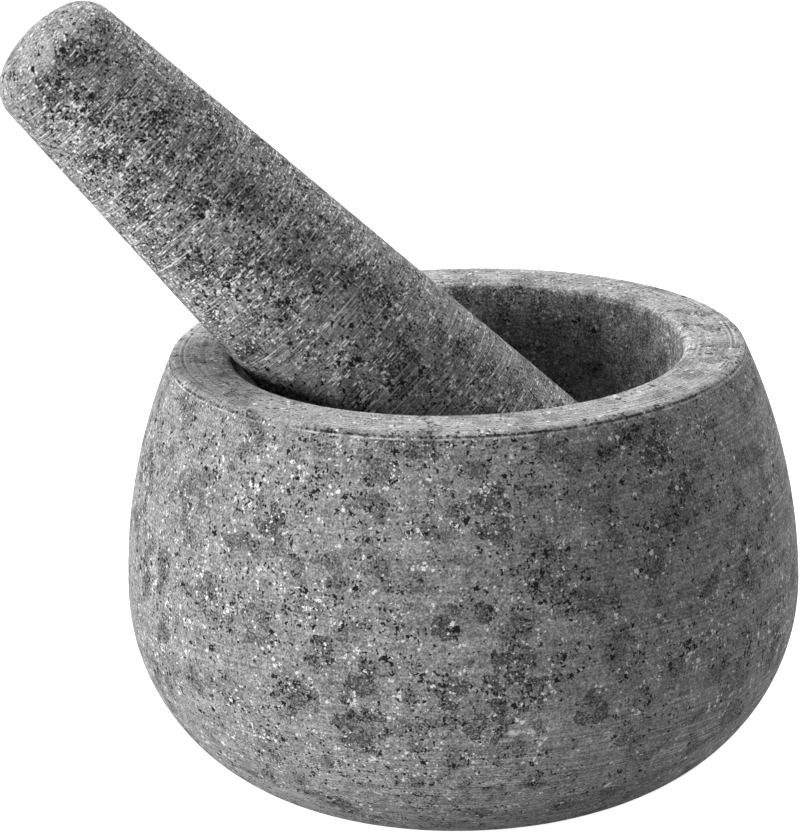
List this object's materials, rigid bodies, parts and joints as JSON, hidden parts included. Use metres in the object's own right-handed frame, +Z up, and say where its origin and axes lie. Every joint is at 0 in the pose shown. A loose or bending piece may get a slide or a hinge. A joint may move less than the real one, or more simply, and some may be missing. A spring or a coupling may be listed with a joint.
{
  "type": "mortar and pestle",
  "caption": "Thick-walled barrel-shaped granite mortar with a flat rim and a round cavity, and a loose tapered stone pestle leaning in it, for grinding spices by hand.",
  "frame": {"origin": "centre of the bowl's flat base, on its turning axis", "axes": "+Z up along the bowl's turning axis; the pestle leans towards -X in the plane of X and Z; the picture looks along +Y"},
  "size_m": [0.1618, 0.14, 0.1644],
  "materials": {
    "bowl_stone": "ground matt grey granite with fine turning lines",
    "pestle_stone": "ground matt grey granite with fine lines round the taper"
  },
  "bodies": {
    "bowl": {"bowl": "bowl_stone"},
    "pestle": {"pestle": "pestle_stone"}
  },
  "joints": [
    {"name": "pestle_lift", "type": "slide", "parent": "bowl", "child": "pestle", "axis": [0, 0, 1], "range_m": [0, 0.08]}
  ]
}
